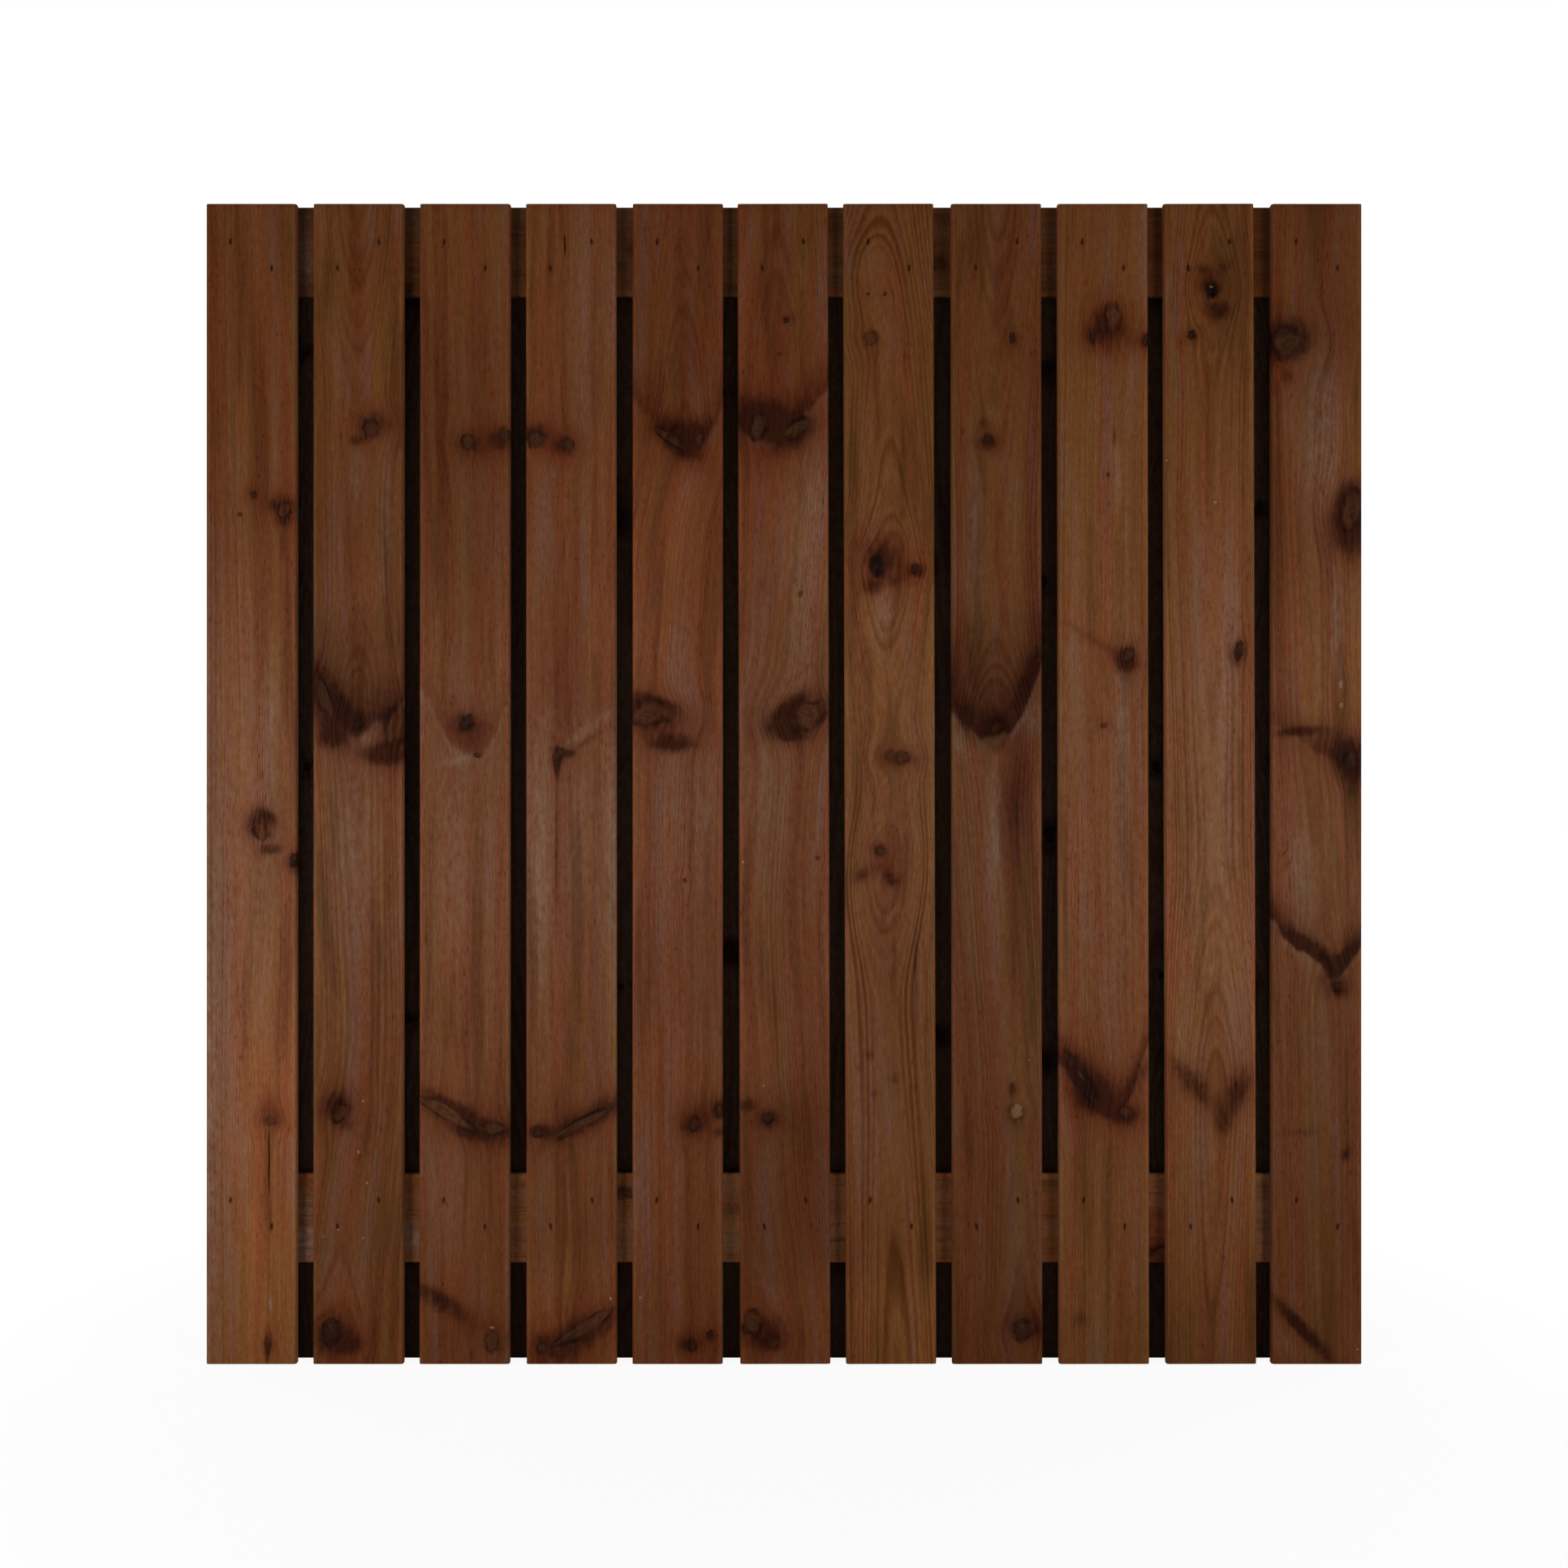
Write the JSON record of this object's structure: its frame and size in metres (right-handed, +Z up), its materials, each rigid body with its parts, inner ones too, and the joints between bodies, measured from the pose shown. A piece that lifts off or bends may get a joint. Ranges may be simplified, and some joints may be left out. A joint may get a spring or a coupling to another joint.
{
  "type": "wooden fence panel",
  "caption": "Garden fence panel of upright planed boards, nailed in front of and behind two horizontal rails so that the rear boards cover the gaps of the front ones.",
  "frame": {"origin": "middle of the panel's foot: halfway across its width and its thickness, at the lower ends of the boards", "axes": "+X to the right seen from the front, -Y is the front, +Z up; the panel is 1793 mm along X, 45 mm along Y and 1800 mm along Z"},
  "size_m": [1.793, 0.045, 1.8003],
  "materials": {
    "front_board": "planed softwood, brown wood preservative, satin",
    "rear_board": "planed softwood, brown wood preservative, satin",
    "rail": "planed softwood, brown wood preservative, satin",
    "nail": "bright wire, dulled and darkened"
  },
  "bodies": {
    "root": {"front_board_01": "front_board", "front_board_02": "front_board", "front_board_03": "front_board", "front_board_04": "front_board", "front_board_05": "front_board", "front_board_06": "front_board", "front_board_07": "front_board", "front_board_08": "front_board", "front_board_09": "front_board", "front_board_10": "front_board", "front_board_11": "front_board", "rear_board_01": "rear_board", "rear_board_02": "rear_board", "rear_board_03": "rear_board", "rear_board_04": "rear_board", "rear_board_05": "rear_board", "rear_board_06": "rear_board", "rear_board_07": "rear_board", "rear_board_08": "rear_board", "rear_board_09": "rear_board", "rear_board_10": "rear_board", "top_rail": "rail", "bottom_rail": "rail", "top_rail_front_nails": "nail", "top_rail_rear_nails": "nail", "bottom_rail_front_nails": "nail", "bottom_rail_rear_nails": "nail"}
  },
  "joints": []
}
